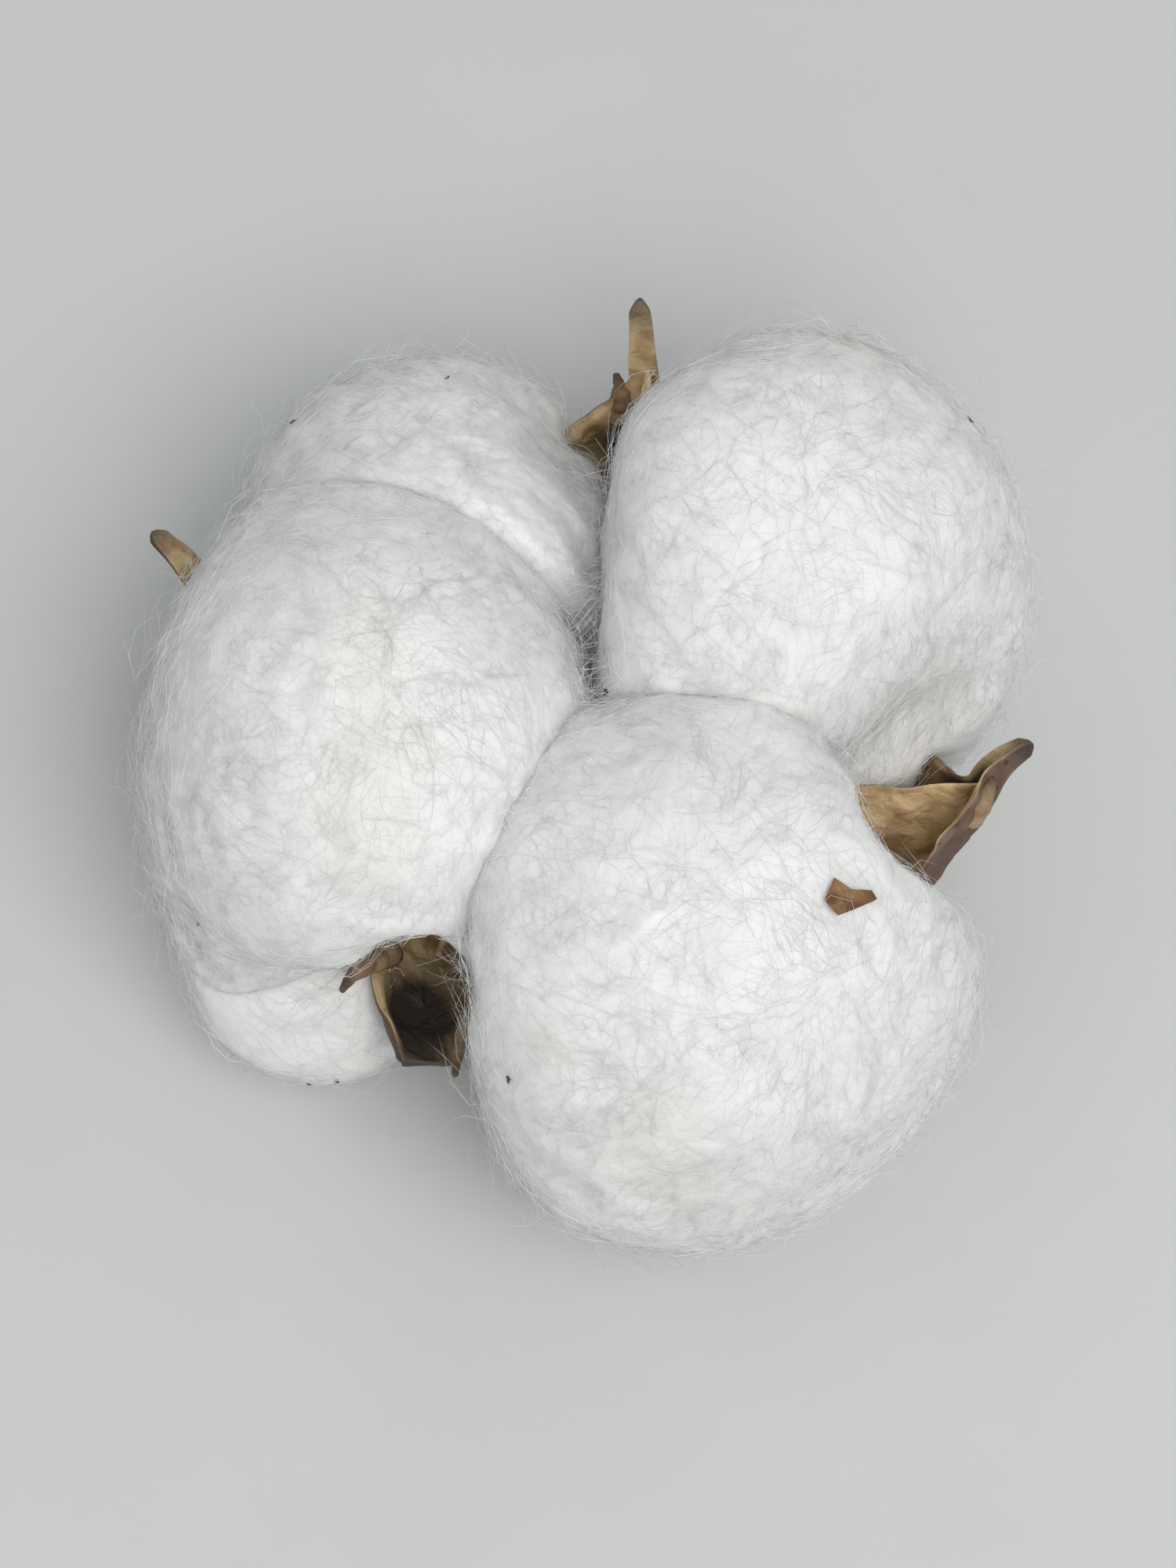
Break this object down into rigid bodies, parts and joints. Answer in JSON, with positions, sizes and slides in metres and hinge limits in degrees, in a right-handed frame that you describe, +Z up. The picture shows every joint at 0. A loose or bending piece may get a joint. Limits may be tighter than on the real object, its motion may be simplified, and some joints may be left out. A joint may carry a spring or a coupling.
{
  "type": "cotton boll",
  "caption": "Open ripe cotton boll lying face up, with rounded white lint locks in a dry brown woody bur with pointed valves, a withered calyx and a short cut stalk.",
  "frame": {"origin": "on the surface the boll lies on, under the middle of its box", "axes": "+Z up through the open face, X and Y level; the picture looks from the -Y side and from above"},
  "size_m": [0.0616, 0.0664, 0.0434],
  "materials": {
    "lint": "soft white fibre",
    "bur": "dry, tan inside and brown outside",
    "calyx": "withered, dark brown",
    "stalk": "dry bark with a pale cut end",
    "leaf": "dry brown leaf"
  },
  "bodies": {
    "root": {"bur": "bur", "calyx": "calyx", "stalk": "stalk", "leaf_scrap": "leaf", "lock_right": "lint", "lock_front": "lint", "lock_left": "lint", "lock_back": "lint"}
  },
  "joints": []
}
